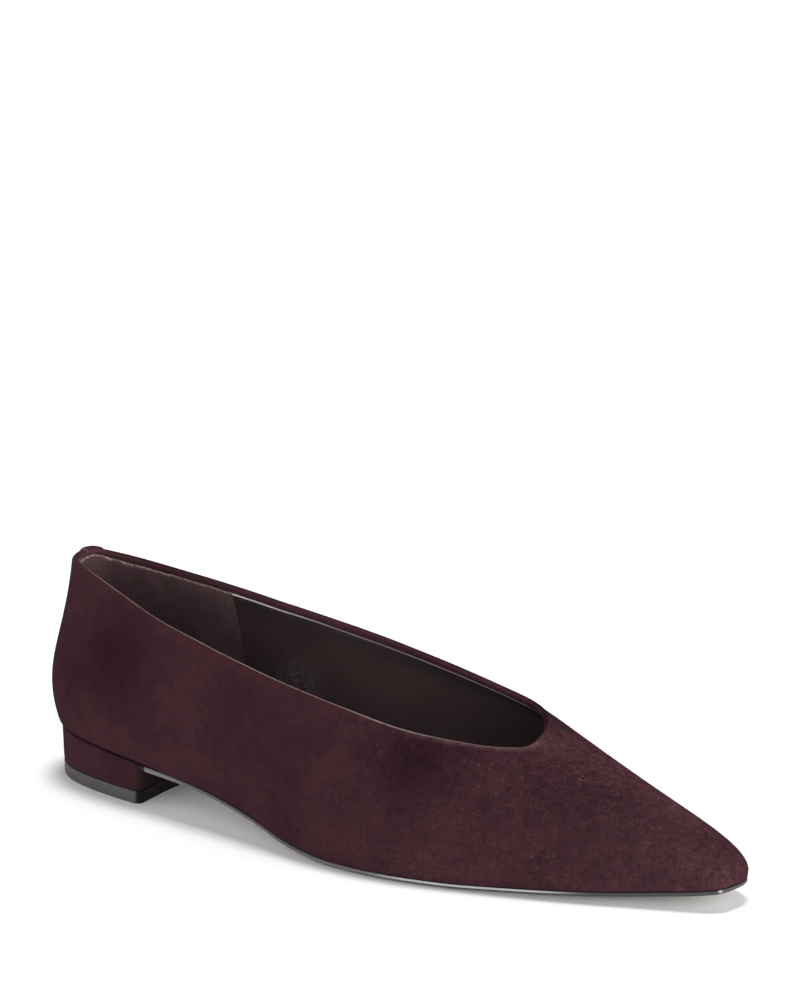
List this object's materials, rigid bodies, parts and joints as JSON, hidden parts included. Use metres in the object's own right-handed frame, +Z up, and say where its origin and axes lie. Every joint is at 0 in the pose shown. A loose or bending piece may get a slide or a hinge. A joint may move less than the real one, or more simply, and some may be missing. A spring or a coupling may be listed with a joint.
{
  "type": "flat shoe",
  "caption": "Right pointed flat shoe: hollow suede upper with a snipped toe and deep open collar, on an insole, thin outsole and low covered block heel with a rubber lift.",
  "frame": {"origin": "on the floor, under the middle of the shoe's plan", "axes": "+X from the heel towards the toe, +Y towards the medial side, +Z up from the floor"},
  "size_m": [0.267, 0.0814, 0.0732],
  "materials": {
    "suede": "napped, matte",
    "sock_lining": "smooth, semi-matte",
    "sole": "satin edge",
    "heel_cover": "napped, matte",
    "lift": "matte"
  },
  "bodies": {
    "root": {"upper": "suede", "insole": "sock_lining", "outsole": "sole", "heel_block": "heel_cover", "top_lift": "lift"}
  },
  "joints": []
}
